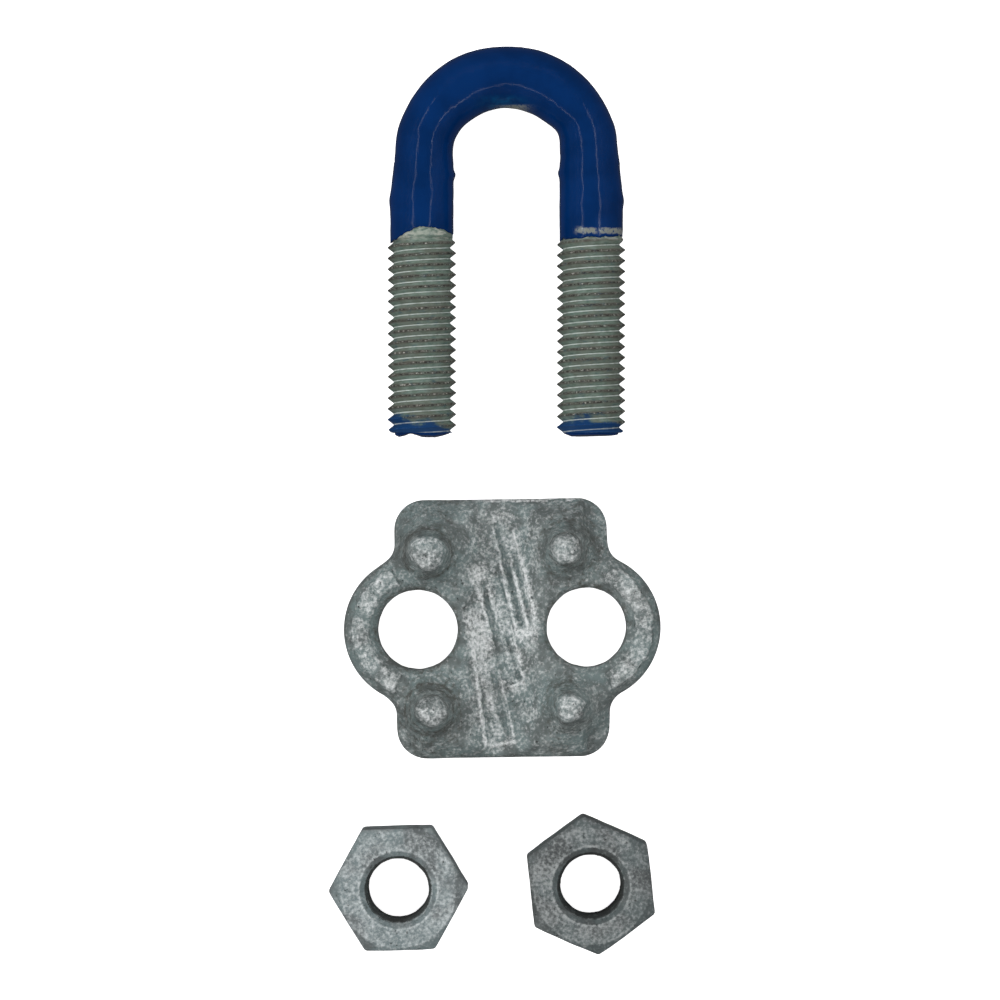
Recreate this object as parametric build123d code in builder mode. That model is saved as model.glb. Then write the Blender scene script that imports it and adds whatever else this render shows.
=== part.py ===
"""Forged wire rope clip for 13 mm rope, taken apart and laid out flat on a bench.

Millimetres, +Z up. The bench is z = 0 and the origin is at the middle of the laid-out set.
The U-bolt lies with its bow towards +Y, the saddle lies rope side up, the nuts lie flat.
"""
from build123d import *
import os

# ---- where the pieces lie on the bench ----
ubolt_x = 2.1            # the U-bolt's middle plane
ubolt_tip_y = 12.4       # the ends of its legs
saddle_x = 1.3
saddle_y = -24.2
nut_left_x = -17.95
nut_left_y = -72.3
nut_left_turn = 1.5      # degrees anticlockwise, with two flats across the row
nut_right_x = 17.75
nut_right_y = -71.6
nut_right_turn = 36.3    # degrees anticlockwise, with a corner nearly at the top

# ---- U-bolt: 1/2 in rod, 13 threads per inch ----
leg_spacing = 31.5
ubolt_height = 71.95     # leg ends to the top of the bow
crest_r = 6.35           # over the thread crests
core_r = 5.65            # bare rod under the paint
paint_t = 0.15
thread_length = 37.2
tip_chamfer = 0.9
leg_x = leg_spacing / 2
leg_z = crest_r          # the thread crests rest on the bench
bow_r = leg_x            # centreline radius of the bow
bow_y = ubolt_height - core_r - paint_t - bow_r

# ---- dried paint on the leg ends ----
daub_r = 5.3
daub_t = 0.35

# ---- saddle ----
body_width = 39.2        # across the rope
body_length = 47.9       # along the rope
body_corner = 5.2
ear_r = 13.7
ear_neck = 3.0           # concave corner where an ear meets the body
hole_r = 7.45
underside_z = 1.5        # the bosses under the holes stand this much proud
boss_r = 12.0
body_top = 8.6
land_top = 9.2           # raised crescents round the outside of the holes
land_inner_r = 8.9
land_outer_r = 12.3
land_half_angle = 68
edge_round = 1.2
end_bevel = 3.0          # the rope leads out over a bevel at each end
end_bevel_drop = 3.2
hole_chamfer = 0.9

# ---- rope groove ----
groove_r = 7.5
groove_floor = 5.0

# ---- horns ----
horn_x = 12.9
horn_y = 14.7
horn_top = 17.4
horn_top_r = 2.7
horn_waist_r = 4.0
horn_waist_z = 12.2
horn_ankle_r = 4.9
horn_ankle_z = 9.9
horn_foot_r = 7.2
horn_foot_z = 8.2
horn_root_z = 3.5
horn_top_round = 0.6

# ---- nuts ----
nut_flats = 22.2
nut_height = 11.1
nut_bore_r = 5.6
nut_mouth_r = 7.15
nut_mouth_depth = 1.0
nut_corner_r = nut_flats / 3 ** 0.5
nut_chamfer_drop = (nut_corner_r - 0.48 * nut_flats) * 0.577


def wire_path():
    """Centreline of the U-bolt between the two thread ends, over the bow."""
    with BuildLine(Plane.XY.offset(leg_z)) as path:
        left = Line((ubolt_x - leg_x, ubolt_tip_y + thread_length), (ubolt_x - leg_x, ubolt_tip_y + bow_y))
        bow = ThreePointArc(
            left @ 1,
            (ubolt_x, ubolt_tip_y + bow_y + bow_r),
            (ubolt_x + leg_x, ubolt_tip_y + bow_y),
        )
        Line(bow @ 1, (ubolt_x + leg_x, ubolt_tip_y + thread_length))
    return path


shank_path = wire_path()
thread_end_y = ubolt_tip_y + thread_length
thread_end = Plane(origin=(ubolt_x - leg_x, thread_end_y, leg_z), x_dir=(1, 0, 0), z_dir=(0, 1, 0))

# ---- U-bolt: the plain rod over the bow, then a threaded leg on each side at its crest diameter ----
with BuildPart() as u_bolt:
    with BuildSketch(thread_end):
        Circle(core_r)
    sweep(path=shank_path.wire())
    with BuildSketch(thread_end):
        with Locations((0, 0), (leg_spacing, 0)):
            Circle(crest_r)
    extrude(amount=-thread_length)
    ends = u_bolt.faces().filter_by(Axis.Y).group_by(Axis.Y)
    chamfer(ends[0].edges(), length=tip_chamfer)
    shoulders = [f for f in ends[-1] if f.center().Y < thread_end_y + 1]
    rims = [e for f in shoulders for e in f.edges() if abs(e.radius - crest_r) < 0.01]
    chamfer(rims, length=0.5)
u_bolt.part.label = "u_bolt"

# ---- paint on the bow: a thin even coat round the plain rod ----
with BuildPart() as bow_paint:
    with BuildSketch(thread_end):
        Circle(core_r + paint_t)
        Circle(core_r, mode=Mode.SUBTRACT)
    sweep(path=shank_path.wire())
bow_paint.part.label = "bow_paint"

# ---- paint on the leg ends: one thin round daub on each ----
with BuildPart() as tip_paint:
    with BuildSketch(Plane(origin=(ubolt_x, ubolt_tip_y, leg_z), x_dir=(1, 0, 0), z_dir=(0, -1, 0))):
        with Locations((-leg_x, 0), (leg_x, 0)):
            Circle(daub_r)
    extrude(amount=daub_t)
tip_paint.part.label = "tip_paint"

# ---- saddle ----
rope_side = Plane(origin=(saddle_x, saddle_y, 0))

with BuildSketch() as outline:
    RectangleRounded(body_width, body_length, body_corner)
    with Locations((-leg_x, 0), (leg_x, 0)):
        Circle(ear_r)
    necks = [v for v in outline.vertices() if abs(abs(v.X) - body_width / 2) < 0.01]
    necks = [v for v in necks if abs(v.Y) < body_length / 2 - body_corner - 0.1]
    fillet(necks, radius=ear_neck)

# one horn with its flared foot, on the Z axis
with BuildPart() as horn:
    with BuildSketch(Plane.XZ):
        with BuildLine():
            Polyline((0, horn_root_z), (horn_foot_r, horn_root_z), (horn_foot_r, horn_foot_z))
            Spline((horn_foot_r, horn_foot_z), (horn_ankle_r, horn_ankle_z), (horn_waist_r, horn_waist_z))
            Polyline((horn_waist_r, horn_waist_z), (horn_top_r, horn_top), (0, horn_top), (0, horn_root_z))
        make_face()
    revolve(axis=Axis.Z)
    fillet(horn.edges().group_by(Axis.Z)[-1], radius=horn_top_round)

with BuildPart() as saddle:
    with BuildSketch(rope_side.offset(underside_z)):
        add(outline.sketch)
    extrude(amount=body_top - underside_z)
    fillet(saddle.edges().group_by(Axis.Z)[-1], radius=edge_round)
    fillet(saddle.edges().group_by(Axis.Z)[0], radius=edge_round)

    # flat bosses under the holes, where the nuts bear
    with BuildSketch(rope_side):
        with Locations((-leg_x, 0), (leg_x, 0)):
            Circle(boss_r)
    extrude(amount=underside_z + edge_round)

    # raised crescents round the outer side of the holes
    with BuildSketch(rope_side.offset(body_top - edge_round)):
        for side, start in ((-1, 180 - land_half_angle), (1, -land_half_angle)):
            with BuildLine() as crescent:
                centre = (side * leg_x, 0)
                outer = CenterArc(centre, land_outer_r, start, 2 * land_half_angle)
                inner = CenterArc(centre, land_inner_r, start, 2 * land_half_angle)
                Line(outer @ 0, inner @ 0)
                Line(outer @ 1, inner @ 1)
            make_face()
    extrude(amount=land_top - body_top + edge_round)

    # the horns
    with Locations((saddle_x, saddle_y, 0)):
        with GridLocations(2 * horn_x, 2 * horn_y, 2, 2):
            add(horn.part)

    # rope groove along Y, open at both ends
    with BuildSketch(Plane.XZ.offset(-saddle_y)):
        with Locations((saddle_x, groove_floor + groove_r)):
            Circle(groove_r)
    extrude(amount=body_length, both=True, mode=Mode.SUBTRACT)

    # bevels where the rope leads out
    with BuildSketch(Plane.YZ.offset(saddle_x)):
        for end in (-1, 1):
            edge_y = saddle_y + end * body_length / 2
            with BuildLine():
                Polyline(
                    (edge_y - end * end_bevel, body_top),
                    (edge_y, body_top - end_bevel_drop),
                    (edge_y + end, body_top - end_bevel_drop),
                    (edge_y + end, horn_top),
                    (edge_y - end * end_bevel, horn_top),
                    close=True,
                )
            make_face()
    extrude(amount=body_width, both=True, mode=Mode.SUBTRACT)

    # holes for the legs
    with BuildSketch(rope_side):
        with Locations((-leg_x, 0), (leg_x, 0)):
            Circle(hole_r)
    extrude(amount=horn_top, mode=Mode.SUBTRACT)
    with Locations((saddle_x, saddle_y, 0)):
        with Locations((-leg_x, 0, land_top - hole_chamfer / 2), (leg_x, 0, land_top - hole_chamfer / 2)):
            Cone(hole_r, hole_r + hole_chamfer, hole_chamfer, mode=Mode.SUBTRACT)
saddle.part.label = "saddle"


def hex_nut(x, y, turn):
    """Hex nut on the bench: bore along Z, chamfered corners on both faces, a wide mouth each side."""
    with BuildPart() as nut:
        with BuildSketch(Plane(origin=(x, y, 0))):
            RegularPolygon(nut_flats / 2, 6, major_radius=False, rotation=turn)
        extrude(amount=nut_height)
        with BuildSketch(Plane.XZ.offset(-y)):
            with BuildLine():
                Polyline(
                    (x, 0),
                    (x + 0.48 * nut_flats, 0),
                    (x + nut_corner_r + 0.01, nut_chamfer_drop),
                    (x + nut_corner_r + 0.01, nut_height - nut_chamfer_drop),
                    (x + 0.48 * nut_flats, nut_height),
                    (x, nut_height),
                    close=True,
                )
            make_face()
        revolve(axis=Axis((x, y, 0), (0, 0, 1)), mode=Mode.INTERSECT)
        with Locations((x, y, nut_height / 2)):
            Cylinder(nut_bore_r, nut_height + 1, mode=Mode.SUBTRACT)
        rims = [e for e in nut.edges().filter_by(GeomType.CIRCLE) if abs(e.radius - nut_bore_r) < 0.01]
        for rim in rims:
            face = nut.faces().filter_by(Axis.Z).sort_by(lambda f: abs(f.center().Z - rim.center().Z))[0]
            chamfer(rim, length=nut_mouth_r - nut_bore_r, length2=nut_mouth_depth, reference=face)
    return nut.part


nut_left = hex_nut(nut_left_x, nut_left_y, nut_left_turn)
nut_left.label = "nut_left"
nut_right = hex_nut(nut_right_x, nut_right_y, nut_right_turn)
nut_right.label = "nut_right"

os.makedirs("parts", exist_ok=True)
export_step(u_bolt.part, "parts/u_bolt.step")
export_step(bow_paint.part, "parts/bow_paint.step")
export_step(tip_paint.part, "parts/tip_paint.step")
export_step(saddle.part, "parts/saddle.step")
export_step(nut_left, "parts/nut_left.step")
export_step(nut_right, "parts/nut_right.step")
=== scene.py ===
"""Wire rope clip, taken apart and laid out on a pale bench: the looks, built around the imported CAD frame."""
import math

import bpy
import numpy as np
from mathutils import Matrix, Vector


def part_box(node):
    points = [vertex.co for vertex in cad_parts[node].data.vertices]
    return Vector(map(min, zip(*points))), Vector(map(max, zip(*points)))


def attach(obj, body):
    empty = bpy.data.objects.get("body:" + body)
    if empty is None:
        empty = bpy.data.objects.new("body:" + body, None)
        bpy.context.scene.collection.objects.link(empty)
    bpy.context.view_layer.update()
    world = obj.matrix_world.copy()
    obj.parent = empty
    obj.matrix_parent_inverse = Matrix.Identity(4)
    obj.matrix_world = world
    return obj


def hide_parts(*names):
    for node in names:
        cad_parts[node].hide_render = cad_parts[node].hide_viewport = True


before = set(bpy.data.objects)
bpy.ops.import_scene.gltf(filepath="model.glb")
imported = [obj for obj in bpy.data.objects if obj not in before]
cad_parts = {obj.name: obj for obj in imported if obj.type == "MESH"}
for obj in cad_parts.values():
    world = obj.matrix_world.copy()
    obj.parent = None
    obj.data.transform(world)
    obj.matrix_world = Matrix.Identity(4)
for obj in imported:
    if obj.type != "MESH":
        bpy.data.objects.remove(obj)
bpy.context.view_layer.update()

MM = 0.001
rng = np.random.default_rng(13)
LATTICE_SIDE = 48
LATTICE = rng.random((LATTICE_SIDE, LATTICE_SIDE, LATTICE_SIDE))


# ---------------------------------------------------------------- helpers
def box_mm(node):
    """Lowest and highest corner of a CAD node, in millimetres."""
    low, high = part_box(node)
    return np.array(low) / MM, np.array(high) / MM


def noise(x, y, z, size):
    """Smooth value noise from -1 to 1 whose blobs are about size millimetres across."""
    cells = [np.asarray(v, float) / size for v in (x, y, z)]
    lows = [np.floor(c).astype(int) for c in cells]
    steps = [c - low for c, low in zip(cells, lows)]
    steps = [s * s * (3 - 2 * s) for s in steps]
    total = 0
    for corner in np.ndindex(2, 2, 2):
        weight = 1
        for bit, step in zip(corner, steps):
            weight = weight * (step if bit else 1 - step)
        index = [(low + bit) % LATTICE_SIDE for low, bit in zip(lows, corner)]
        total = total + weight * LATTICE[index[0], index[1], index[2]]
    return total * 2 - 1


def smooth_step(low, high, value):
    t = np.clip((value - low) / (high - low), 0, 1)
    return t * t * (3 - 2 * t)


def smooth_min(a, b, k):
    h = np.clip(0.5 + 0.5 * (b - a) / k, 0, 1)
    return b + (a - b) * h - k * h * (1 - h)


def smooth_max(a, b, k):
    return -smooth_min(-a, -b, k)


def make_piece(name, points, faces, body, nodes, material, masks=None):
    """A smooth mesh piece from points in millimetres, with float masks on its points."""
    mesh = bpy.data.meshes.new(name)
    mesh.from_pydata((np.asarray(points) * MM).tolist(), [], [tuple(f) for f in faces])
    mesh.validate()
    for mask, values in (masks or {}).items():
        layer = mesh.attributes.new(mask, "FLOAT", "POINT")
        layer.data.foreach_set("value", np.ascontiguousarray(values, np.float32))
    mesh.polygons.foreach_set("use_smooth", [True] * len(mesh.polygons))
    mesh.materials.append(material)
    piece = bpy.data.objects.new(name, mesh)
    bpy.context.scene.collection.objects.link(piece)
    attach(piece, body)
    if nodes:
        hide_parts(*nodes)
    return piece


def tube_faces(rings, around, first=0):
    """Quads between rings of points, closed round the tube."""
    faces = []
    for i in range(rings - 1):
        for j in range(around):
            a = first + i * around + j
            b = first + i * around + (j + 1) % around
            faces.append((a, b, b + around, a + around))
    return faces


def net(function, low, high, cell):
    """Points and quads of the surface where function(x, y, z) is zero: one point in each cell that it
    crosses, pulled onto it."""
    probe = 0.01
    axes = [np.arange(a - 2 * cell, b + 3 * cell, cell) for a, b in zip(low, high)]
    value = function(*np.meshgrid(*axes, indexing="ij", sparse=True))
    inside = value < 0
    shape = tuple(n - 1 for n in inside.shape)
    filled = np.zeros(shape, int)
    for corner in np.ndindex(2, 2, 2):
        part = tuple(slice(c, c + n) for c, n in zip(corner, shape))
        filled += inside[part]
    active = np.argwhere((filled > 0) & (filled < 8))
    number = np.full(shape, -1)
    number[tuple(active.T)] = np.arange(len(active))
    total = np.zeros((len(active), 3))
    count = np.zeros(len(active))
    for axis in range(3):
        for side in np.ndindex(2, 2):
            start = np.insert(np.array(side), axis, 0)
            end = start.copy()
            end[axis] = 1
            a = value[tuple((active + start).T)]
            b = value[tuple((active + end).T)]
            crossed = (a < 0) != (b < 0)
            share = np.where(crossed, a / np.where(crossed, a - b, 1), 0)
            total += crossed[:, None] * (start + share[:, None] * (end - start))
            count += crossed
    points = np.array([a[0] for a in axes]) + (active + total / count[:, None]) * cell
    for _ in range(3):
        at = function(*points.T)
        rises = [function(*(points + way).T) - function(*(points - way).T) for way in np.eye(3) * probe]
        slope = np.stack(rises, 1) / (2 * probe)
        pull = -at[:, None] * slope / np.maximum((slope**2).sum(1), 0.05)[:, None]
        points += np.clip(pull, -0.4 * cell, 0.4 * cell)
    faces = []
    for axis in range(3):
        u, v = [a for a in range(3) if a != axis]
        ahead = np.roll(inside, -1, axis)
        cut = inside != ahead
        cut[tuple(slice(-1, None) if a == axis else slice(None) for a in range(3))] = False
        for a in (u, v):
            cut[tuple(slice(0, 1) if b == a else slice(None) for b in range(3))] = False
            cut[tuple(slice(-1, None) if b == a else slice(None) for b in range(3))] = False
        edges = np.argwhere(cut)
        ring = []
        for du, dv in ((1, 1), (0, 1), (0, 0), (1, 0)):
            cellpos = edges.copy()
            cellpos[:, u] -= du
            cellpos[:, v] -= dv
            ring.append(number[tuple(cellpos.T)])
        quads = np.stack(ring, 1)
        outward = inside[tuple(edges.T)]
        if axis == 1:
            outward = ~outward
        quads[~outward] = quads[~outward][:, ::-1]
        faces.append(quads)
    return points, np.concatenate(faces)


# ---------------------------------------------------------------- materials
class Nodes:
    """Short-hand for building one node material."""

    def __init__(self, name):
        self.material = bpy.data.materials.new(name)
        self.material.use_nodes = True
        self.tree = self.material.node_tree
        self.shader = self.tree.nodes["Principled BSDF"]
        self.place = self.tree.nodes.new("ShaderNodeTexCoord").outputs["Object"]

    def put(self, socket, value):
        if isinstance(value, bpy.types.NodeSocket):
            self.tree.links.new(value, socket)
        else:
            socket.default_value = value

    def noise(self, size_mm, detail=3.0, rough=0.6, stretch=None):
        """Noise whose blobs are about size_mm across; stretch scales the axes."""
        node = self.tree.nodes.new("ShaderNodeTexNoise")
        place = self.place
        if stretch:
            mapping = self.tree.nodes.new("ShaderNodeMapping")
            mapping.inputs["Scale"].default_value = stretch
            self.put(mapping.inputs["Vector"], place)
            place = mapping.outputs["Vector"]
        self.put(node.inputs["Vector"], place)
        node.inputs["Scale"].default_value = 1 / (size_mm * MM)
        node.inputs["Detail"].default_value = detail
        node.inputs["Roughness"].default_value = rough
        return node.outputs["Fac"]

    def mask(self, name):
        node = self.tree.nodes.new("ShaderNodeAttribute")
        node.attribute_name = name
        return node.outputs["Fac"]

    def band(self, value, low, high, out_low=0.0, out_high=1.0):
        node = self.tree.nodes.new("ShaderNodeMapRange")
        node.interpolation_type = "SMOOTHSTEP"
        for socket, number in zip(node.inputs[1:5], (low, high, out_low, out_high)):
            socket.default_value = number
        self.put(node.inputs["Value"], value)
        return node.outputs["Result"]

    def math(self, operation, a, b=0.0):
        node = self.tree.nodes.new("ShaderNodeMath")
        node.operation = operation
        self.put(node.inputs[0], a)
        self.put(node.inputs[1], b)
        return node.outputs[0]

    def mix(self, share, a, b):
        node = self.tree.nodes.new("ShaderNodeMix")
        node.data_type = "RGBA"
        self.put(node.inputs["Factor"], share)
        for socket, value in ((node.inputs["A"], a), (node.inputs["B"], b)):
            self.put(socket, value if isinstance(value, bpy.types.NodeSocket) else colour(value))
        return node.outputs["Result"]

    def bump(self, height, distance_mm, strength=1.0, under=None):
        node = self.tree.nodes.new("ShaderNodeBump")
        node.inputs["Strength"].default_value = strength
        node.inputs["Distance"].default_value = distance_mm * MM
        self.put(node.inputs["Height"], height)
        if under is not None:
            self.put(node.inputs["Normal"], under)
        return node.outputs["Normal"]

    def finish(self, base, rough, metal, normal=None, specular=0.5):
        self.put(self.shader.inputs["Base Color"], base)
        self.put(self.shader.inputs["Roughness"], rough)
        self.put(self.shader.inputs["Metallic"], metal)
        self.shader.inputs["Specular IOR Level"].default_value = specular
        if normal is not None:
            self.put(self.shader.inputs["Normal"], normal)
        return self.material


def colour(rgb):
    """Linear RGBA from screen values 0 to 255."""
    return tuple((c / 255 / 12.92 if c < 10.3 else ((c / 255 + 0.055) / 1.055) ** 2.4) for c in rgb) + (1.0,)


def zinc(name, dark, middle, bright, metal=0.12):
    """Hot-dip zinc: mottled middle grey, clumps of worn bright grain and painted highlights where the mask
    "bright" is high, brown-black deposit and painted shade where the mask "dark" is high, and pits."""
    n = Nodes(name)
    grain = n.noise(0.62, 5.0, 0.62)
    blotch = n.noise(3.2, 4.0, 0.6)
    base = n.mix(n.band(blotch, 0.36, 0.66), tuple(0.82 * c for c in middle), tuple(1.06 * c for c in middle))
    cool = tuple(k * c for k, c in zip((0.945, 1.0, 1.005), middle))
    base = n.mix(n.band(n.noise(6.5, 3.0, 0.55), 0.42, 0.6, 0.0, 0.75), base, cool)
    # The mask "bright" adds worn bright grain and painted highlights.
    wear_and_highlight = n.math("ADD", grain, n.math("MULTIPLY", n.mask("bright"), 0.3))
    wear_and_highlight = n.math("ADD", wear_and_highlight, n.band(blotch, 0.3, 0.7, -0.04, 0.06))
    base = n.mix(n.band(wear_and_highlight, 0.5, 0.98), base, bright)
    # The mask "dark" adds brown-black deposit and painted shade.
    deposit_and_shade = n.math("ADD", n.noise(1.1, 6.0, 0.75), n.math("MULTIPLY", n.mask("dark"), 0.34))
    base = n.mix(n.band(deposit_and_shade, 0.6, 0.92, 0.0, 0.9), base, dark)
    pits = n.band(n.noise(0.8, 4.0, 0.68, (1.2, 0.9, 1.0)), 0.64, 0.7)
    base = n.mix(n.math("MULTIPLY", pits, 0.8), base, tuple(0.5 * c for c in dark))
    rough = n.band(grain, 0.3, 0.7, 0.6, 0.38)
    height = n.math("ADD", n.math("MULTIPLY", grain, 0.7), n.math("MULTIPLY", n.noise(1.6, 5.0, 0.6), 0.9))
    height = n.math("SUBTRACT", height, n.math("MULTIPLY", pits, 0.6))
    return n.finish(base, rough, metal, n.bump(height, 0.3, 1.0), 0.4)


def thread_steel():
    """Rolled galvanised thread: green-grey flanks, a painted highlight line in the root, a brown torn seam
    with dots on the crest, blue smears where the mask "smear" is high and pale zinc where "collar" is high."""
    n = Nodes("thread_zinc")
    streak = n.noise(0.5, 4.0, 0.65, (0.4, 1.0, 0.4))
    base = n.mix(n.band(streak, 0.35, 0.65), (108, 126, 115), (134, 151, 141))
    base = n.mix(n.band(n.noise(5.0, 2.0, 0.5), 0.4, 0.62, 0.0, 0.5), base, (112, 112, 102))
    patches = n.band(n.noise(1.6, 4.0, 0.65), 0.34, 0.56, 0.55, 1.0)
    brown = n.math("MULTIPLY", n.band(n.mask("crest"), 0.56, 0.78), patches)
    base = n.mix(n.math("MULTIPLY", brown, 0.85), base, (98, 94, 87))
    seam = n.band(n.mask("crest"), 0.74, 0.92)
    dots = n.noise(0.42, 4.0, 0.7)
    base = n.mix(n.math("MULTIPLY", seam, n.band(dots, 0.48, 0.58, 0.0, 0.95)), base, (40, 38, 35))
    base = n.mix(n.math("MULTIPLY", seam, n.band(dots, 0.42, 0.34, 0.0, 0.95)), base, (222, 220, 212))
    smear = n.math("ADD", n.noise(0.9, 5.0, 0.7, (0.6, 1.0, 0.6)), n.math("MULTIPLY", n.mask("smear"), 0.45))
    base = n.mix(n.band(smear, 0.54, 0.72, 0.0, 0.5), base, (24, 84, 108))
    base = n.mix(n.band(smear, 0.66, 0.88, 0.0, 0.9), base, (3, 60, 116))
    breaks = n.band(n.noise(1.2, 3.0, 0.6), 0.3, 0.55, 0.5, 1.0)
    # Painted highlight: a broken bright line along the thread root, fainter under the blue smears.
    painted_root_highlight = n.math("MULTIPLY", n.band(n.mask("crest"), 0.15, 0.03), breaks)
    painted_root_highlight = n.math("MULTIPLY", painted_root_highlight, n.band(smear, 0.7, 1.0, 1.0, 0.55))
    base = n.mix(painted_root_highlight, base, (240, 250, 245))
    base = n.mix(n.math("MULTIPLY", n.mask("collar"), n.band(streak, 0.38, 0.6)), base, (204, 204, 192))
    height = n.math("ADD", streak, n.math("MULTIPLY", n.math("MULTIPLY", seam, dots), -1.6))
    return n.finish(base, n.band(streak, 0.3, 0.7, 0.5, 0.34), 0.1, n.bump(height, 0.07, 0.8), 0.5)


def blue_paint():
    """Dipped royal blue enamel with an orange-peel skin and faint dirt, thinner and greener where the mask
    "teal" is high, chipped to bare zinc where "chip" is high."""
    n = Nodes("blue_enamel")
    cloud = n.noise(7.0, 3.0, 0.5)
    base = n.mix(n.band(cloud, 0.35, 0.65), (2, 39, 88), (4, 45, 99))
    dirt = n.band(n.noise(1.5, 5.0, 0.75), 0.62, 0.74)
    base = n.mix(n.math("MULTIPLY", dirt, 0.35), base, (22, 38, 62))
    teal = n.math("MULTIPLY", n.mask("teal"), n.band(n.noise(1.4, 3.0, 0.6), 0.3, 0.7, 0.2, 0.9))
    base = n.mix(teal, base, (6, 74, 122))
    chip = n.math("MULTIPLY", n.mask("chip"), n.band(n.noise(0.55, 4.0, 0.7), 0.38, 0.5))
    base = n.mix(n.math("MULTIPLY", chip, 0.9), base, (196, 200, 188))
    peel = n.math("ADD", n.noise(0.9, 2.0, 0.5), n.math("MULTIPLY", n.noise(3.4, 2.0, 0.5), 1.6))
    height = n.math("SUBTRACT", peel, n.math("MULTIPLY", chip, 2.0))
    rough = n.band(n.noise(2.0, 3.0, 0.6), 0.3, 0.7, 0.1, 0.17)
    return n.finish(base, rough, n.math("MULTIPLY", chip, 0.6), n.bump(height, 0.02, 0.4), 0.3)


# ---------------------------------------------------------------- U-bolt
bolt_low, bolt_high = box_mm("u_bolt")
bolt_x = (bolt_low[0] + bolt_high[0]) / 2
tip_y = bolt_low[1]
CREST_R = (bolt_high[2] - bolt_low[2]) / 2
bolt_z = bolt_low[2] + CREST_R
LEG_X = (bolt_high[0] - bolt_low[0]) / 2 - CREST_R
THREAD_LENGTH = 37.2
THREAD_DEPTH = 1.18
PITCH = 2.0
LEG_R = 5.87
TIP_ROUND = 1.3
COLLAR_R = 5.62
ROD_HALF_HEIGHT = 5.8
ROD_STEP = 0.4
BOW_STEPS = 150
BOW_Y = 50.4  # centre of the bow, from the leg ends
BEND_INNER, BEND_OUTER = 9.85, 20.95  # radii where the bow meets the legs
LEG_SWELL = 0.7  # how much farther out the legs' outer line lies below the bend
# (angle, radius) of the bow's inner and outer line about its centre, degrees anticlockwise from +X
BOW_INNER = [
    (0, BEND_INNER), (14, 10.15), (24, 10.75), (31, 11.0), (46, 10.35), (66, 10.05), (98, 10.1), (127, 10.15),
    (142, 10.5), (156, 10.5), (168, 10.2), (180, BEND_INNER),
]
BOW_OUTER = [
    (0, BEND_OUTER), (6, 20.8), (17, 21.25), (26, 21.2), (45, 21.45), (65, 21.7), (90, 21.55), (115, 21.7),
    (135, 21.45), (154, 21.2), (163, 21.25), (174, 20.8), (180, BEND_OUTER),
]
PAINT_T = 0.16


def round_line(points, angle):
    """Radius at an angle from a short list of (angle, radius), rounded over a few degrees."""
    degrees, radii = zip(*points)
    spread = [np.interp(angle + d, degrees, radii) for d in (-4, -2, 0, 2, 4)]
    return np.mean(spread, axis=0)


def rod_rings(start_y):
    """Centre, half width and outward direction of the rod in its plane, from the left leg over the bow to the
    right leg."""
    leg = np.arange(start_y, BOW_Y, ROD_STEP)
    grow = smooth_step(52, 43, leg)
    outer = BEND_OUTER + grow * LEG_SWELL
    inner = np.full_like(leg, BEND_INNER)
    centre = (outer + inner) / 2
    half = (outer - inner) / 2
    angle = np.linspace(180, 0, BOW_STEPS)
    ro, ri = round_line(BOW_OUTER, angle), round_line(BOW_INNER, angle)
    turn = np.radians(angle)
    mid = (ro + ri) / 2
    xs = np.concatenate([-centre, mid * np.cos(turn), centre[::-1]])
    ys = np.concatenate([leg, BOW_Y + mid * np.sin(turn), leg[::-1]])
    halves = np.concatenate([half, (ro - ri) / 2, half[::-1]])
    across = np.concatenate([
        np.tile([-1.0, 0.0], (len(leg), 1)),
        np.stack([np.cos(turn), np.sin(turn)], 1),
        np.tile([1.0, 0.0], (len(leg), 1)),
    ])
    return xs, ys, halves, across


AROUND = 96
section = np.arange(AROUND) * 2 * math.pi / AROUND


def rod_skin(start_y, thickness):
    """Grid of points round the rod; section angle 0 is the outer side and 90 degrees the top."""
    xs, ys, halves, across = rod_rings(start_y)
    wide = np.maximum(halves[:, None] + thickness - PAINT_T, 1)
    tall = ROD_HALF_HEIGHT + thickness - PAINT_T + 0 * wide
    x = xs[:, None] + across[:, :1] * wide * np.cos(section)
    y = ys[:, None] + across[:, 1:] * wide * np.cos(section)
    z = tall * np.sin(section)
    return x, y, z


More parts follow.
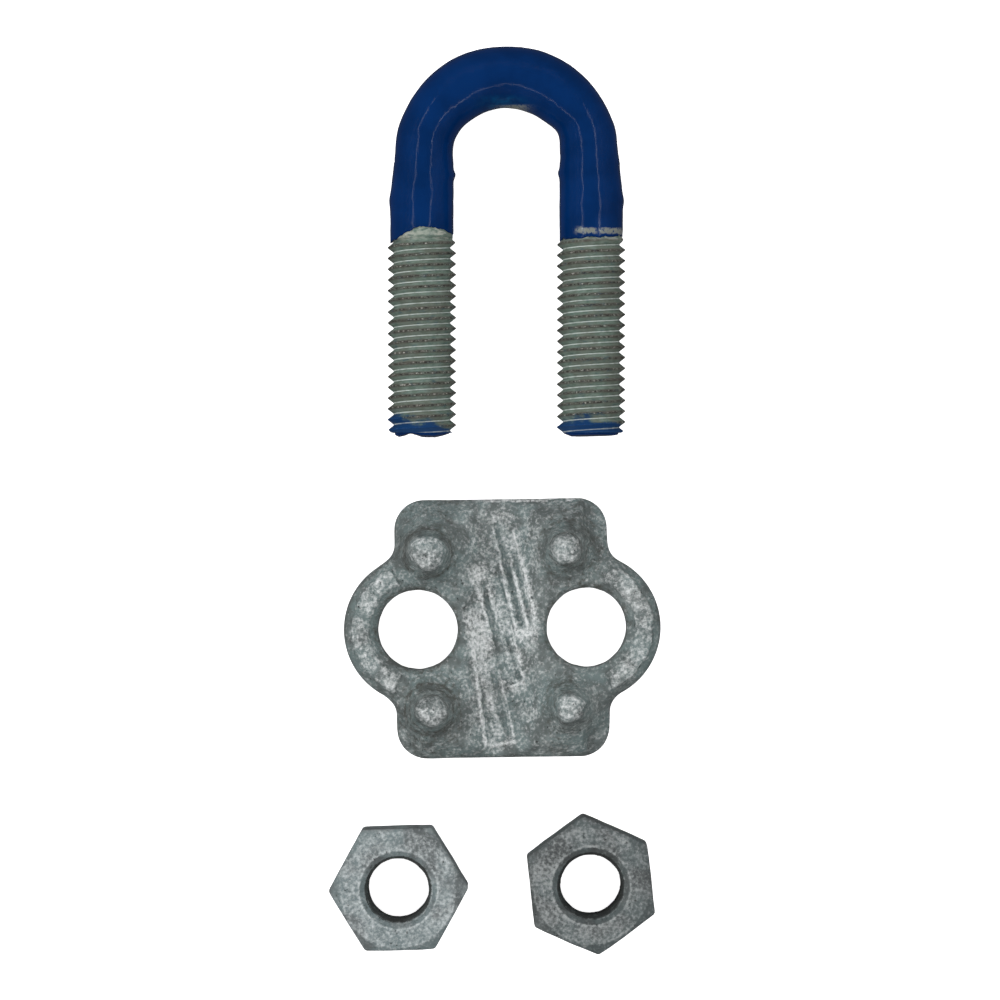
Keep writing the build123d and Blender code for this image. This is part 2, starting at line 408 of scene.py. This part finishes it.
def threaded_leg(side):
    """Points, number of rings and masks of one leg: a helical thread from the end up to a smooth collar that
    goes in under the paint."""
    stop = THREAD_LENGTH + 3.0
    ys = np.concatenate([[0.0, 0.0], np.arange(0.05, stop, 0.125), [stop]])
    y, a = np.meshgrid(ys, section, indexing="ij")
    shift = 0.27 if side < 0 else 0.97
    phase = (y / PITCH + a / (2 * math.pi) + shift) % 1
    profile = np.abs(2 * phase - 1)  # 1 at the crest, 0 at the root
    rounded = smooth_min(smooth_max(profile * 1.1 - 0.05, 0.03, 0.1), 1.03, 0.05)
    fade = smooth_step(THREAD_LENGTH + 0.2, THREAD_LENGTH - 2.6, y)
    root = CREST_R - THREAD_DEPTH
    wear = 0.05 * noise(side * 9 + 4 * np.cos(a), y, 4 * np.sin(a), 0.9) * (profile > 0.75)
    r = root + THREAD_DEPTH * rounded * fade + (COLLAR_R - root) * (1 - fade) + wear + 0.05
    end = CREST_R - 0.95 + np.sqrt(np.maximum(0, 1 - (1 - np.clip(y / TIP_ROUND, 0, 1)) ** 2))
    r = np.minimum(r, end)
    r[[0, -1]] = 0.02
    crest = profile * fade + 0.45 * (1 - fade)
    x = side * LEG_X + r * np.cos(a)
    z = r * np.sin(a)
    ragged = noise(side * 20 + 3 * np.cos(a), y * 1.4, 3 * np.sin(a), 1.6)
    reach = (1.75 if side < 0 else 1.7) - (1.25 if side < 0 else 0.35) * np.cos(a)
    smear = smooth_step(reach + 1.6, reach - 0.6, y + 1.3 * ragged)
    collar = smooth_step(THREAD_LENGTH - 1.7, THREAD_LENGTH - 0.9, y) * (0.65 + 0.35 * ragged)
    masks = {"crest": crest.ravel(), "smear": smear.ravel(), "collar": np.clip(collar, 0, 1).ravel()}
    return np.stack([x, y, z], -1).reshape(-1, 3), len(ys), masks


def to_bench(points):
    """From the U-bolt's own place (leg ends at y 0, axis at z 0) to the row frame."""
    return np.asarray(points) + [bolt_x, tip_y, bolt_z]


def make_steel():
    """Both threaded legs, and the rod under the paint."""
    points, faces, masks = [], [], {"crest": [], "smear": [], "collar": []}
    for side in (-1, 1):
        leg, rings, leg_masks = threaded_leg(side)
        first = sum(len(p) for p in points)
        points.append(leg)
        faces += tube_faces(rings, AROUND, first)
        faces.append(tuple(first + AROUND - 1 - j for j in range(AROUND)))
        faces.append(tuple(first + (rings - 1) * AROUND + j for j in range(AROUND)))
        for key, value in leg_masks.items():
            masks[key].append(value)
    x, y, z = rod_skin(THREAD_LENGTH - 1.0, 0.0)
    first = sum(len(p) for p in points)
    rod = np.stack([x, y, z], -1)
    points.append(rod.reshape(-1, 3))
    faces += [tuple(reversed(f)) for f in tube_faces(len(rod), AROUND, first)]
    faces.append(tuple(first + j for j in range(AROUND)))
    faces.append(tuple(first + len(rod) * AROUND - 1 - j for j in range(AROUND)))
    for key in masks:
        masks[key].append(np.full(len(rod) * AROUND, 0.4 if key == "crest" else 0.0))
    masks = {key: np.concatenate(value) for key, value in masks.items()}
    points = to_bench(np.concatenate(points))
    metal = thread_steel()
    make_piece("u_bolt_steel", points, faces, "u_bolt", ["u_bolt"], metal, masks)


def paint_edge(side):
    """How far down a leg the paint reaches, by section angle: a ragged line, with a dip on the left leg."""
    lateral = np.cos(section) * side
    up = np.sin(section)
    ragged = 0.35 * noise(side * 7 + 5 * np.cos(section), 3.3, 5 * np.sin(section), 0.9)
    ragged = ragged + 0.18 * noise(side * 9 + 9 * np.cos(section), 8.3, 9 * np.sin(section), 0.5)
    if side < 0:
        places = [-1, -0.8, -0.35, -0.05, 0.4, 0.75, 1]
        dip = np.interp(lateral, places, [35.5, 35.9, 37.5, 38.2, 37.9, 37.5, 37.0])
    else:
        dip = np.interp(lateral, [-1, 0.2, 0.7, 1], [35.9, 36.1, 36.3, 36.6])
    return np.where(up > -0.3, dip, 36.4) + ragged


# lumps in the dipped coat: leg, place along it, section angle (180 is the inner side), size and width
NIBS = [
    (-1, 48.0, 180, 0.42, 0.75), (1, 48.3, 180, 0.28, 0.8), (-1, 43.4, 0, 0.2, 1.5), (1, 43.2, 0, 0.22, 1.2),
    (1, 50.6, 0, 0.12, 0.6),
]
NIB_SPREAD = 30.0  # degrees round the section
EDGE_RINGS = 9  # rings over which the ragged edge evens out
LEG_RINGS = 40  # rings at each end of the coat whose lumps stand square to the leg


def make_bow_paint():
    """The dipped coat over the bow, ragged at its ends, worn at the crown and above the right thread."""
    x, y, z = rod_skin(THREAD_LENGTH - 0.6, PAINT_T)
    rings = len(x)
    for side in (-1, 1):
        edge = paint_edge(side)
        index = [step if side < 0 else rings - 1 - step for step in range(EDGE_RINGS)]
        top = y[index[-1]]
        for step, ring in enumerate(index):
            share = step / (len(index) - 1)
            y[ring] = edge + (top - edge) * share
    nib = np.zeros_like(x)
    for side, at_y, section_at, size, width in NIBS:
        near = np.exp(-((y - at_y) / width) ** 2) * (np.sign(x) == side)
        off = (np.degrees(section) - section_at + 180) % 360 - 180
        nib += size * near * np.exp(-off**2 / NIB_SPREAD**2)[None, :]
    swell = 0.05 * noise(x, y, z, 3.0) + 0.025 * noise(x, y, z, 0.9) + nib
    centre = np.stack([x.mean(1), y.mean(1), 0 * x.mean(1)], 1)
    direction = np.stack([x, y, z], -1) - centre[:, None, :]
    on_leg = (np.arange(rings) < LEG_RINGS) | (np.arange(rings) > rings - 1 - LEG_RINGS)
    direction[on_leg, :, 1] = 0
    direction /= np.linalg.norm(direction, axis=2, keepdims=True)
    skin = np.stack([x, y, z], -1) + direction * swell[..., None]
    skin[..., 2] = np.maximum(skin[..., 2], -CREST_R)
    # the free edge turns in to the steel
    inner_first = skin[0] - direction[0] * (PAINT_T + 0.12)
    inner_last = skin[-1] - direction[-1] * (PAINT_T + 0.12)
    skin = np.concatenate([inner_first[None], skin, inner_last[None]])
    faces = [tuple(reversed(f)) for f in tube_faces(len(skin), AROUND)]
    px, py, pz = skin[..., 0], skin[..., 1], skin[..., 2]
    crown = np.exp(-((px + 0.6) / 3.4) ** 2) * (py > 58)
    teal = crown * smooth_step(62.8, 61.6, py) * (pz > 0)
    chip = np.exp(-((px - 1.2) / 2.0) ** 2) * smooth_step(60.95, 60.6, py) * (py > 58) * (pz > -1)
    rub = (px > 0) * smooth_step(36.85, 37.05, py) * smooth_step(37.95, 37.6, py) * (pz > 0.5)
    lateral = (px - LEG_X) / LEG_R
    rub = rub * smooth_step(-0.6, -0.35, lateral) * (1 - np.exp(-((lateral - 0.18) / 0.07) ** 2))
    chip = np.maximum(chip, rub)
    teal = np.maximum(teal, rub * 0.4)
    masks = {"chip": chip.ravel(), "teal": teal.ravel()}
    points = to_bench(skin.reshape(-1, 3))
    make_piece("bow_enamel", points, faces, "u_bolt", ["bow_paint"], BLUE, masks)


# how far the dried paint hangs off each leg end, by place across the leg in shares of TIP_R
TIP_DROPS = {
    -1: (
        [-1, -0.93, -0.8, -0.62, -0.42, -0.28, 0.0, 0.45, 0.75, 1],
        [0.2, 0.62, 0.86, 0.55, 0.1, 0.3, 0.78, 0.84, 0.5, 0.1],
    ),
    1: ([-1, -0.85, -0.7, 0.0, 0.55, 0.9, 1], [0.05, 0.4, 0.72, 0.66, 0.58, 0.5, 0.3]),
}
TIP_SPOKES = 14
TIP_R = 5.3
TIP_REACH = 5.1


def make_tip_paint():
    """Dried paint over both leg ends: a lumpy cap with a torn lip that climbs into the first thread."""
    points, faces = [], []
    for side in (-1, 1):
        rings = []
        lump = noise(side * 5 + 2.2 * np.cos(section), 1.7, 2.2 * np.sin(section), 1.1)
        reach = TIP_REACH + 0.14 * lump
        for k in range(TIP_SPOKES + 1):
            share = k / TIP_SPOKES
            r = reach * max(share, 0.004)  # the middle ring stays open for the face that closes it
            off_x, off_z = r * np.cos(section), r * np.sin(section)
            uneven = 0.06 * noise(side * 5 + off_x, 4.4, off_z, 1.3)
            drop = np.interp(off_x / TIP_R, *TIP_DROPS[side]) + uneven
            y = -drop * (1 - 0.35 * (off_z / TIP_R) ** 2) * (1 - 0.3 * share**8)
            rings.append(np.stack([side * LEG_X + off_x, y, off_z], -1))
        lip = 0.9 + 0.5 * noise(side * 3 + 3 * np.cos(section), 6.1, 3 * np.sin(section), 1.2)
        for y_in, r_in in ((0.35, 0.03), (1.0, -0.12)):
            r = np.minimum(reach + r_in, CREST_R - 0.03)
            rings.append(np.stack([side * LEG_X + r * np.cos(section), lip * y_in, r * np.sin(section)], -1))
        r = np.full_like(section, CREST_R - THREAD_DEPTH - 0.5)
        rings.append(np.stack([side * LEG_X + r * np.cos(section), lip, r * np.sin(section)], -1))
        block = np.stack(rings)
        first = sum(len(p) for p in points)
        points.append(block.reshape(-1, 3))
        faces += tube_faces(len(block), AROUND, first)
        faces.append(tuple(first + AROUND - 1 - j for j in range(AROUND)))
        faces.append(tuple(first + (len(block) - 1) * AROUND + j for j in range(AROUND)))
    points = np.concatenate(points)
    masks = {"chip": np.zeros(len(points)), "teal": 0.35 * np.clip(noise(*points.T, 1.3), 0, 1)}
    make_piece("tip_daubs", to_bench(points), faces, "u_bolt", ["tip_paint"], BLUE, masks)


# ---------------------------------------------------------------- saddle
saddle_low, saddle_high = box_mm("saddle")
saddle_at = np.array([(saddle_low[0] + saddle_high[0]) / 2, (saddle_low[1] + saddle_high[1]) / 2, 0.0])
HALF_WIDTH, HALF_LENGTH, CORNER = 19.6, (saddle_high[1] - saddle_low[1]) / 2, 5.2
EAR_R = (saddle_high[0] - saddle_low[0]) / 2 - LEG_X
HOLE_R = 7.45
UNDERSIDE = 1.5
PLATE_TOP = 8.3
PLATE_LEAST = 4.3  # about the least height of the rope side
LAND_TOP = 9.0
LAND_INNER, LAND_OUTER, LAND_HALF_ANGLE = 8.9, 12.3, 68
GROOVE_R, GROOVE_FLOOR = 8.3, 5.0
# horns: centre and radius at the top
HORNS = [(-13.5, 14.35, 2.75), (11.9, 14.7, 2.35), (-13.3, -14.8, 2.35), (12.4, -14.5, 2.15)]
HORN_TOP = saddle_high[2]
BEVEL_LENGTH, BEVEL_SLOPE = 3.4, 1.2
SADDLE_TURN = math.radians(0.8)
SADDLE_SHIFT = 0.15  # towards the U-bolt
# blunt tapered marks the rope strands are to bed in: start, end and half width
STRANDS = [
    ((0.3, 20.0), (4.75, 0.2), 1.7), ((-3.6, 10.0), (2.3, -9.6), 1.6), ((-5.0, 1.4), (-0.3, -20.0), 1.7),
]
# fine lines of the marks: start, end, half width, height (raised or sunk)
LINES = [
    ((-1.5, 19.5), (2.7, -1.1), 0.38, 0.36), ((1.3, 12.9), (4.75, 0.7), 0.44, 0.36),
    ((2.2, 18.4), (6.1, 2.7), 0.3, 0.42), ((2.7, -1.3), (5.9, -1.2), 0.38, 0.36),
    ((-4.4, 7.8), (0.4, -10.2), 0.4, 0.32), ((-2.2, 6.8), (2.2, -8.0), 0.46, 0.26),
    ((0.2, 9.5), (3.6, -8.6), 0.34, 0.26), ((0.6, -11.0), (3.7, -10.2), 0.4, 0.34),
    ((-5.6, -1.6), (-3.4, -21.6), 0.46, 0.34), ((-3.0, -11.4), (0.0, -20.0), 0.44, 0.34),
    ((-0.9, -6.5), (1.8, -20.0), 0.36, 0.28), ((-3.2, -21.9), (1.8, -21.2), 0.52, 0.34),
    ((-1.0, 19.3), (3.7, 0.7), 0.5, -0.55), ((2.5, 13.2), (5.35, 1.3), 0.36, -0.45),
    ((-0.5, 10.1), (2.4, -1.0), 0.16, -0.32), ((-3.4, 8.6), (0.1, -9.1), 0.5, -0.55),
    ((0.8, -1.6), (2.9, -9.3), 0.36, -0.45), ((-1.9, -7.9), (0.5, -19.3), 0.5, -0.55),
    ((-4.3, -9.4), (-2.2, -20.0), 0.34, -0.32), ((-1.0, 1.0), (0.6, -7.5), 0.2, -0.26),
]


def capsule(x, y, start, end):
    """Distance to a segment, and the share along it."""
    start, end = np.array(start), np.array(end)
    way = end - start
    share = np.clip(((x - start[0]) * way[0] + (y - start[1]) * way[1]) / (way @ way), 0, 1)
    return np.hypot(x - start[0] - share * way[0], y - start[1] - share * way[1]), share


def strand_lines(x, y, sign):
    """The raised (sign 1) or sunk (sign -1) lines, as heights above zero."""
    wander_x = x + 0.22 * noise(x, y, 0 * x + 3, 2.0) + 0.1 * noise(x, y, 0 * x + 7, 0.7)
    broken = 1.1 + 0.45 * noise(x, y, 0 * x + 5, 1.1)
    total = 0
    for start, end, half, height in LINES:
        if height * sign < 0:
            continue
        gap, share = capsule(wander_x, y, start, end)
        line = abs(height) * np.exp(-(gap / half) ** 2) * smooth_step(-0.1, 0.25, share + 0.1)
        total = np.maximum(total, line)
    return total * broken


def strand_halo(x, y):
    """1 over the marks, fading off them."""
    total = 0
    for start, end, half in STRANDS:
        gap, _ = capsule(x, y, start, end)
        total = np.maximum(total, smooth_step(half + 2.2, half - 0.6, gap))
    return total


def strand_marks(x, y):
    """The lines over shallow channels, as heights."""
    total = strand_lines(x, y, 1) - strand_lines(x, y, -1)
    for start, end, half in STRANDS:
        gap, share = capsule(x, y, start, end)
        total = total - 0.22 * smooth_step(half + 0.2, half - 0.9, gap) * smooth_step(0.0, 0.4, share)
    return total


def horn_gap(x, y):
    """Distance to the nearest horn's middle."""
    return np.minimum.reduce([np.hypot(x - hx, y - hy) for hx, hy, _ in HORNS])


def horn_skin(x, y):
    """Distance outside the nearest horn's top edge."""
    return np.minimum.reduce([np.hypot(x - hx, y - hy) - radius for hx, hy, radius in HORNS])


def hole_gap(x, y):
    """Distance to the nearer hole's middle."""
    return np.hypot(np.abs(x) - LEG_X, y)


def land_share(x, y):
    """1 on the raised crescents, 0 off them."""
    gap = hole_gap(x, y)
    angle = np.degrees(np.arctan2(np.abs(y), np.abs(x) - LEG_X))
    edge = (LAND_HALF_ANGLE - angle) * math.pi / 180 * gap
    wobble = 0.3 * noise(x, y, 0 * x, 1.6)
    inside = np.minimum(np.minimum(gap - LAND_INNER, LAND_OUTER - gap), edge) + wobble
    return smooth_step(-0.25, 0.25, inside)


def plate_top(x, y):
    """Height of the rope side without the horns."""
    across = np.clip(np.abs(x), 0, GROOVE_R * 0.9)
    groove = GROOVE_FLOOR + GROOVE_R - np.sqrt(GROOVE_R**2 - across**2) + (np.abs(x) - across) * 1.6
    in_groove = smooth_step(8.4, 6.4, np.abs(x)) * smooth_step(23.6, 22.2, np.abs(y))
    groove = groove + strand_marks(x, y) * in_groove
    level = PLATE_TOP + (LAND_TOP - PLATE_TOP) * land_share(x, y)
    gap = hole_gap(x, y)
    outward = smooth_step(14.5, 17.0, np.abs(x))
    level = level - 0.75 * np.maximum(gap - LAND_OUTER, 0) * outward
    fall = 0.09 * np.maximum(horn_gap(x, y) - 4.5, 0)
    level = level - fall * smooth_step(9.5, 12.5, np.abs(y)) * (1 - outward * 0.4)
    level = smooth_min(level, groove, 0.9)
    bevel = PLATE_TOP + 0.3 - BEVEL_SLOPE * (np.abs(y) - (HALF_LENGTH - BEVEL_LENGTH))
    bevel = bevel + 0.25 * noise(x, 0 * x, 0 * x, 3.5)
    level = smooth_max(smooth_min(level, bevel, 0.5), PLATE_LEAST, 0.6)
    chamfer = PLATE_TOP + 0.1 - 1.15 + (gap - HOLE_R) * 0.95
    level = smooth_min(level, chamfer, 0.35)
    return level + 0.07 * noise(x, y, 0 * x, 2.2) + 0.035 * noise(x, y, 0 * x, 0.8)


def saddle_shape(x, y, z):
    """Below zero inside the saddle, in its own millimetres."""
    qx, qy = np.abs(x) - HALF_WIDTH + CORNER, np.abs(y) - HALF_LENGTH - 0.08 + CORNER
    body = np.hypot(np.maximum(qx, 0), np.maximum(qy, 0)) + np.minimum(np.maximum(qx, qy), 0) - CORNER
    outline = smooth_min(body, hole_gap(x, y) - EAR_R, 2.6) - 0.32
    draft = 0.08 * np.abs(z - 4.2)
    boss = hole_gap(x, y) - 12.0
    floor = UNDERSIDE - UNDERSIDE * smooth_step(0.5, -0.3, boss)
    solid = smooth_max(outline + draft, (z - plate_top(x, y)) * 0.85, 0.9)
    solid = smooth_max(solid, floor - z, 0.9)
    lean = HORN_TOP - z
    uneven = 0.28 * noise(x, y, 0 * x + 2, 1.9) + 0.14 * noise(x, y, 0 * x + 9, 0.9)
    cone = (horn_skin(x, y) + uneven - 0.1 - 0.2 * lean - 0.012 * lean**2) * 0.96
    top = z - HORN_TOP + 0.12 + 0.22 * noise(x, y, 0 * x, 1.3) + 0.05 * horn_gap(x, y)
    horn = smooth_max(smooth_max(cone, top, 1.5), 4.0 - z, 0.5)
    solid = smooth_max(smooth_min(solid, horn, 3.0), outline + draft, 0.7)
    bore = HOLE_R - hole_gap(x, y) - 0.07 * noise(x, y, z, 1.4)
    solid = smooth_max(solid, bore, 0.35)
    return solid


def saddle_masks(x, y, z):
    """Where the zinc is worn bright, with painted highlights on the raised lines and along the top edge, and
    where it is dark with deposit and painted shade.
    """
    up = smooth_step(3.5, 6.0, z)
    horn = horn_gap(x, y)
    top_of_horn = smooth_step(HORN_TOP - 2.6, HORN_TOP - 0.7, z + 0.4 * noise(x, y, z, 1.1))
    groove = smooth_step(8.6, 6.2, np.abs(x)) * up
    land = land_share(x, y) * up
    halo = strand_halo(x, y) * groove
    # ridge: painted highlight on the raised lines; channel: painted shade in the sunk lines.
    ridge = np.clip(strand_lines(x, y, 1) * 3.4, 0, 1) * groove
    channel = np.clip(strand_lines(x, y, -1) * 2.2, 0, 1) * groove
    cloud = 0.5 + 0.5 * noise(x, y, z, 2.6)
    bright = np.maximum.reduce([
        (0.04 + 0.24 * cloud + 0.12 * smooth_step(22, 15, np.abs(y))) * groove,
        (0.6 + 0.4 * cloud) * halo,
        ridge,
        (0.22 + 0.4 * cloud) * land,
        (0.32 + 0.3 * cloud) * top_of_horn,
        np.full_like(x, 0.06),
    ]) - 0.55 * channel
    # flare: brown deposit and painted shade in the hollow fillet round each horn's foot.
    flare = np.exp(-((horn - 4.4) / 2.0) ** 2) * (1 - top_of_horn)
    streaks = 0.5 + 0.62 * noise(horn * 3.2, np.arctan2(y, x) * 3.0, 0 * x, 1.6)
    skirt = smooth_step(13.0, 4.0, horn) * (1 - groove)
    # rim: painted shade where the surface falls away into each hole.
    rim = smooth_step(1.5, 0.4, hole_gap(x, y) - HOLE_R) * (1 - 0.4 * groove)
    edge = smooth_step(2.2, 0.4, EAR_R - hole_gap(x, y)) * (np.abs(x) > HALF_WIDTH - 1)
    ends = smooth_step(HALF_LENGTH - 3.6, HALF_LENGTH - 1.6, np.abs(y)) * 0.5
    dark = np.maximum.reduce([
        flare * (0.5 + 0.45 * streaks),
        skirt * (0.25 + 0.6 * streaks),
        0.7 * rim,
        0.4 * edge,
        ends,
        0.5 * channel,
        0.3 * (1 - up),
    ]) - 0.25 * groove - land * 0.3
    # Less dark towards the lower right corner.
    paler_corner = smooth_step(10.5, 15.0, x) * (y < 0)
    dark = np.clip(dark, 0, 1) * (1 - 0.75 * top_of_horn) * (1 - 0.65 * paler_corner)
    # Painted highlight: a thin broken bright line along the top edge.
    painted_edge_highlight = smooth_step(HALF_LENGTH - 0.6, HALF_LENGTH - 0.3, y) * smooth_step(-9, 0, x)
    painted_edge_highlight = painted_edge_highlight * (noise(x, y, z, 1.3) > -0.3)
    bright = np.maximum(bright, 0.42 * streaks**2 * skirt * (1 - 0.6 * flare))
    bright = np.maximum(bright, 0.9 * painted_edge_highlight * smooth_step(15.5, 13.5, x))
    return {"bright": bright, "dark": dark}


def make_saddle():
    """The saddle, turned a little in its plane."""
    low = np.array([-HALF_WIDTH - 10.5, -HALF_LENGTH - 0.5, -0.4])
    high = np.array([HALF_WIDTH + 10.5, HALF_LENGTH + 0.5, HORN_TOP + 0.4])
    cell = 0.24
    points, faces = net(saddle_shape, low, high, cell)
    x, y, z = points.T
    masks = saddle_masks(x, y, z)
    cos, sin = math.cos(SADDLE_TURN), math.sin(SADDLE_TURN)
    points = np.stack([x * cos - y * sin, x * sin + y * cos + SADDLE_SHIFT, z], 1) + saddle_at
    metal = zinc("saddle_zinc", (82, 82, 77), (128, 137, 136), (250, 252, 252))
    make_piece("saddle_forging", points, faces, "saddle", ["saddle"], metal, masks)


# ---------------------------------------------------------------- nuts
NUT_FLATS = 22.55
NUT_BORE = 5.6
NUT_MOUTH = 7.2
NUT_THREAD_DEPTH = 0.75
NUT_CHAMFER_R = NUT_FLATS * 0.475


def make_nut(node, turn, seed, metal):
    """A chamfered hex nut with a threaded bore, turned about it by turn degrees."""
    low, high = box_mm(node)
    at = (low + high) / 2
    height = high[2] - low[2]
    tilt = math.radians(turn)

    def shape(x, y, z):
        u = x * math.cos(tilt) + y * math.sin(tilt)
        v = -x * math.sin(tilt) + y * math.cos(tilt)
        ways = [k * math.pi / 3 for k in range(3)]
        sides = [np.abs(u * math.cos(way) + v * math.sin(way)) - NUT_FLATS / 2 for way in ways]
        hexagon = smooth_max(smooth_max(sides[0], sides[1], 0.45), sides[2], 0.45)
        hexagon = hexagon + 0.05 * noise(x + seed, y, z, 2.4) + 0.02
        rise = np.abs(z)
        gap = np.hypot(x, y)
        flat = rise - height / 2 + 0.03 * noise(x + seed, y, z, 1.3) + 0.03
        cone = (rise - height / 2 + (gap - NUT_CHAMFER_R) * 0.7) * 0.82
        solid = smooth_max(smooth_max(hexagon, flat, 0.3), cone, 0.22)
        phase = (z / PITCH - np.arctan2(y, x) / (2 * math.pi)) % 1
        thread = NUT_BORE + NUT_THREAD_DEPTH * (1 - np.abs(2 * phase - 1))
        mouth = NUT_MOUTH - (height / 2 - rise) * 1.25
        bore = np.maximum(thread, mouth) - gap + 0.03 * noise(x, y + seed, z, 1.0)
        return smooth_max(solid, bore * 0.8, 0.15)

    reach = NUT_FLATS / math.sqrt(3) + 0.4
    cell = 0.2
    corner = np.array([reach, reach, height / 2 + 0.3])
    points, faces = net(shape, -corner, corner, cell)
    x, y, z = points.T
    gap = np.hypot(x, y)
    top = smooth_step(height / 2 - 1.6, height / 2 - 0.1, np.abs(z))
    # Painted highlight along the chamfer circle (ring), strongest towards -y, and painted shade on the chamfer
    # facets towards -y (chamfered).
    near = smooth_step(3, -6, y)
    ring = np.exp(-((gap - NUT_CHAMFER_R) / 0.2) ** 2) * top * (0.25 + 0.75 * near)
    # lip: painted highlight round the bore's mouth.
    lip = np.exp(-((gap - NUT_MOUTH - 0.1) / 0.25) ** 2) * top
    patchy = 0.5 + 0.5 * noise(x + seed, y, z, 3.0)
    chamfered = 0.14 + 0.3 * patchy * (1 - near)
    face = top * (gap > NUT_MOUTH) * np.where(gap < NUT_CHAMFER_R, 0.22 + 0.55 * patchy, chamfered)
    bright = np.clip(face + ring * patchy * 0.7 + lip * 0.4, 0, 1)
    inside = gap < NUT_MOUTH - 0.1
    turn_share = (z / PITCH - np.arctan2(y, x) / (2 * math.pi)) % 1
    # Painted highlight on the thread crests in the bore, and painted shade down the bore (dark).
    crest = smooth_step(0.3, 0.1, np.abs(turn_share - 0.5)) * inside * (gap < 6.4)
    bright = np.maximum(bright, 0.45 * crest)
    dark = np.clip((0.3 + 1.0 * (gap < 6.25) - 0.5 * crest) * inside, 0, 1.3)
    masks = {"bright": bright, "dark": dark}
    make_piece(node + "_forging", points + at, faces, node, [node], metal, masks)


# ---------------------------------------------------------------- stage
def area_light(name, place, size, power, glossy=True):
    """A rectangular light aimed at the middle of the set; one that is not glossy gives no highlights."""
    light = bpy.data.lights.new(name, "AREA")
    light.shape = "RECTANGLE"
    light.size, light.size_y = size
    light.energy = power
    lamp = bpy.data.objects.new(name, light)
    lamp.location = place
    lamp.visible_glossy = glossy
    lamp.rotation_mode = "QUATERNION"
    middle = Vector((0, 0, 0))
    lamp.rotation_quaternion = (middle - Vector(place)).to_track_quat("-Z", "Y")
    bpy.context.scene.collection.objects.link(lamp)


# name, place across and along the set, power in watts
SIDE_LIGHTS = [
    ("side_left", -1, 0, 8.2),
    ("side_right", 1, 0, 4.0),
    ("side_front", 0, -1, 4.0),
    ("side_back", 0, 1, 7.6),
]
BENCH_HALF = 3.0
BENCH_DROP = 0.0002
STRIP_SIZE = (1.0, 0.02)


def make_bench():
    """The plain pale floor, just under the parts; it lights nothing."""
    mesh = bpy.data.meshes.new("bench")
    corners = [(x * BENCH_HALF, y * BENCH_HALF, 0) for x, y in ((-1, -1), (1, -1), (1, 1), (-1, 1))]
    mesh.from_pydata(corners, [], [(0, 1, 2, 3)])
    n = Nodes("bench_white")
    n.finish((0.9, 0.9, 0.9, 1.0), 0.9, 0.0, None, 0.1)
    n.shader.inputs["Emission Color"].default_value = (1, 1, 1, 1)
    n.shader.inputs["Emission Strength"].default_value = 1.0
    mesh.materials.append(n.material)
    bench = bpy.data.objects.new("bench", mesh)
    bench.location.z = -BENCH_DROP
    bpy.context.scene.collection.objects.link(bench)
    bench.visible_glossy = False
    bench.visible_diffuse = False


def make_lights():
    """Soft light from four sides, most from the left and the back, and thin strips for the highlights."""
    world = bpy.data.worlds.new("studio")
    bpy.context.scene.world = world
    world.use_nodes = True
    background = world.node_tree.nodes["Background"]
    background.inputs["Color"].default_value = (1, 1, 1, 1)
    background.inputs["Strength"].default_value = 0.07
    for name, x, y, power in SIDE_LIGHTS:
        area_light(name, (x, y, 0.8), (1.3, 0.45), power, glossy=False)
    for name, x in (("rim_left", -1.2), ("rim_right", 1.2)):
        area_light(name, (x, 0.0, 0.3), (1.4, 0.3), 2.0, glossy=False)
    for name, x in (("strip_left", -0.5), ("strip_right", 0.5)):
        area_light(name, (x, 0.0, 0.85), STRIP_SIZE, 0.45)
    area_light("strip_front", (0, -0.5, 0.85), STRIP_SIZE, 0.35)


def make_camera():
    """Straight down from above the middle of the set, as the photograph was taken."""
    camera = bpy.data.cameras.new("camera")
    camera.sensor_width = 36.0
    camera.lens = 154.6
    camera.clip_start, camera.clip_end = 0.05, 10.0
    holder = bpy.data.objects.new("camera", camera)
    holder.location = (0.885 * MM, -0.09 * MM, 0.806)
    bpy.context.scene.collection.objects.link(holder)
    bpy.context.scene.camera = holder


bpy.context.scene.view_settings.view_transform = "Standard"
BLUE = blue_paint()
make_camera()
make_bench()
make_lights()
make_steel()
make_bow_paint()
make_tip_paint()
make_saddle()
make_nut("nut_left", 31.5, 3.0, zinc("nut_zinc_left", (52, 54, 52), (134, 141, 142), (214, 220, 221)))
make_nut("nut_right", 6.3, 11.0, zinc("nut_zinc_right", (46, 48, 47), (102, 107, 107), (176, 180, 180)))
